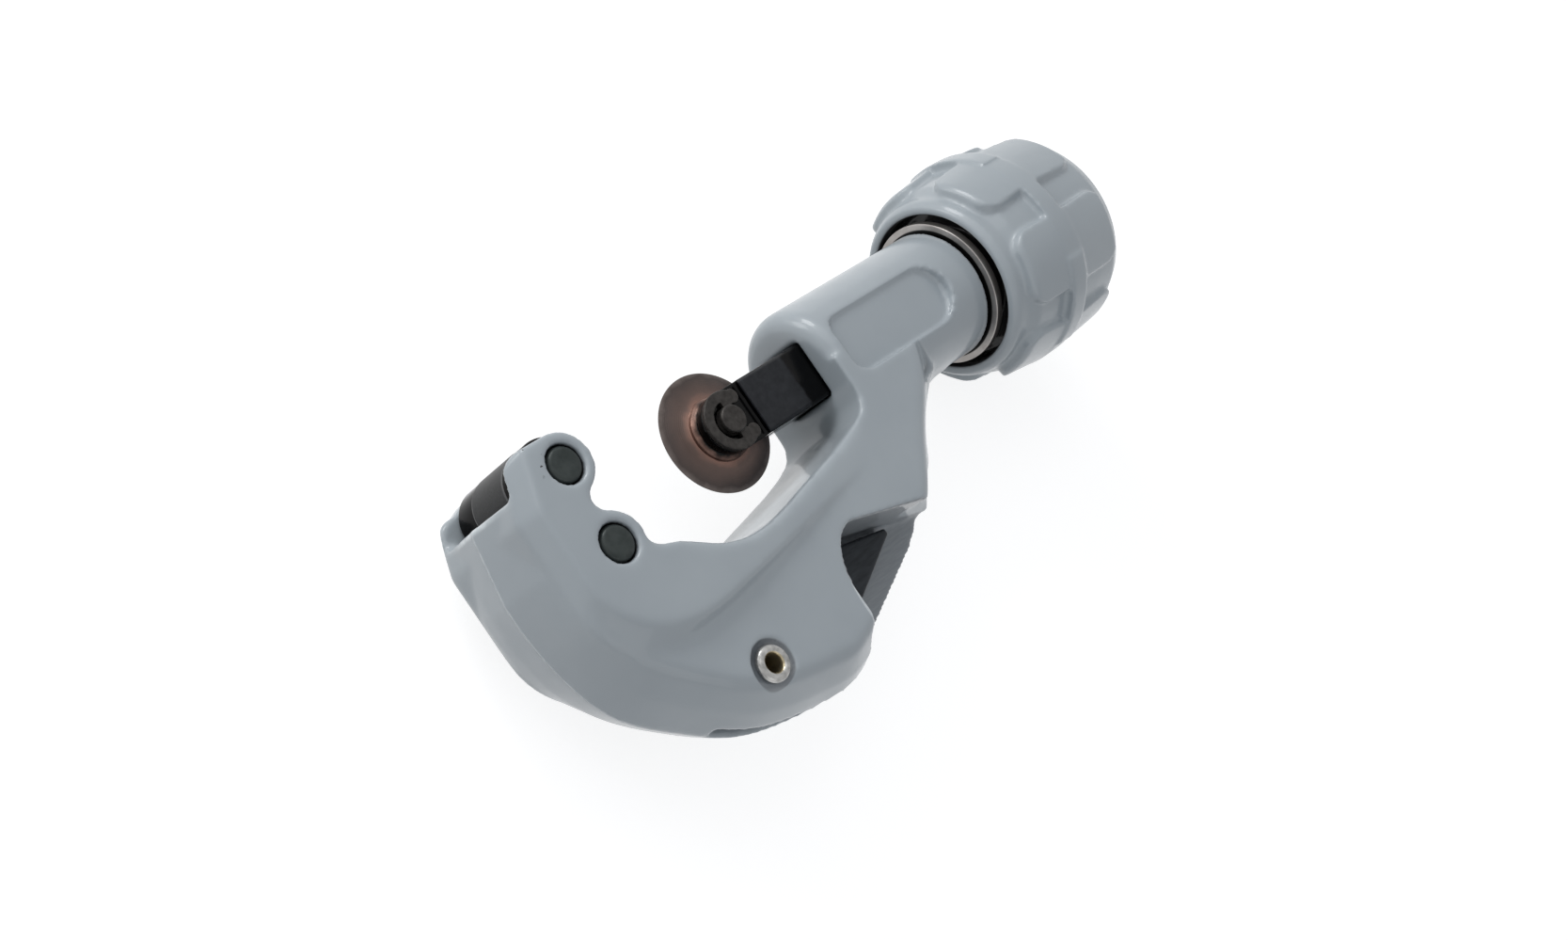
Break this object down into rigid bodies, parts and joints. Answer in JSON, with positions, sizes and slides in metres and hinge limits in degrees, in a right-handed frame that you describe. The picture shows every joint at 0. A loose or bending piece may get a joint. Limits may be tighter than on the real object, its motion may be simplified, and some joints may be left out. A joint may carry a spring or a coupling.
{
  "type": "tube cutter",
  "caption": "Screw-feed tube cutter: cast C-frame, guide rollers, cutter wheel on a sliding block, lugged feed knob and a fold-out reamer.",
  "frame": {"origin": "midway between the two roller axes, in the tool's mid-plane", "axes": "+X along the feed screw towards the knob, +Y out of the open throat, +Z along the wheel and roller axes towards the side with the finger notch"},
  "size_m": [0.1326, 0.0597, 0.0367],
  "materials": {
    "cast_body": "light grey enamel, semi-gloss",
    "knob_metal": "light grey enamel, semi-gloss",
    "roller_steel": "black oxide, polished, with a satin running land",
    "pin_steel": "dark, smooth",
    "slide_black": "black, semi-gloss",
    "wheel_steel": "black oxide, ground edge",
    "bright_steel": "bright, turned",
    "rivet_steel": "dull, rolled",
    "ring_steel": "turned, dull",
    "reamer_steel": "dark, ground"
  },
  "bodies": {
    "frame": {"frame_body": "cast_body", "roller_pin_upper": "pin_steel", "roller_pin_lower": "pin_steel", "retainer_ring": "ring_steel", "thrust_washer_front": "bright_steel", "thrust_washer_rear": "bright_steel", "reamer_rivet": "rivet_steel", "reamer_washer": "bright_steel"},
    "knob": {"feed_screw": "bright_steel", "knob_body": "knob_metal", "knob_washer": "bright_steel", "knob_nut": "bright_steel", "knob_end_cap": "knob_metal", "spare_wheel": "wheel_steel"},
    "slide": {"slide_block": "slide_black", "wheel_pin": "pin_steel", "wheel_clip": "pin_steel"},
    "wheel": {"cutter_wheel": "wheel_steel"},
    "roller_a": {"roller_upper": "roller_steel"},
    "roller_b": {"roller_lower": "roller_steel"},
    "reamer": {"reamer_blade": "reamer_steel"}
  },
  "joints": [
    {"name": "knob_turn", "type": "hinge", "parent": "frame", "child": "knob", "pos_m": [0.1, 0, 0], "axis": [1, 0, 0], "range_deg": [-4320, 2040]},
    {"name": "slide_feed", "type": "slide", "parent": "frame", "child": "slide", "axis": [1, 0, 0], "range_m": [-0.01802, 0.00852]},
    {"name": "wheel_spin", "type": "hinge", "parent": "slide", "child": "wheel", "pos_m": [0.0348, 0, 0], "axis": [0, 0, 1], "continuous": true},
    {"name": "roller_upper_spin", "type": "hinge", "parent": "frame", "child": "roller_a", "pos_m": [0, 0.00627, 0], "axis": [0, 0, 1], "continuous": true},
    {"name": "roller_lower_spin", "type": "hinge", "parent": "frame", "child": "roller_b", "pos_m": [0, -0.00627, 0], "axis": [0, 0, 1], "continuous": true},
    {"name": "reamer_fold", "type": "hinge", "parent": "frame", "child": "reamer", "pos_m": [0.0116, -0.0314, 0], "axis": [0, 0, 1], "range_deg": [-120, 0]}
  ],
  "couplings": [
    {"joint": "slide_feed", "follows": "knob_turn", "m_per_rad": 0.00023873}
  ]
}
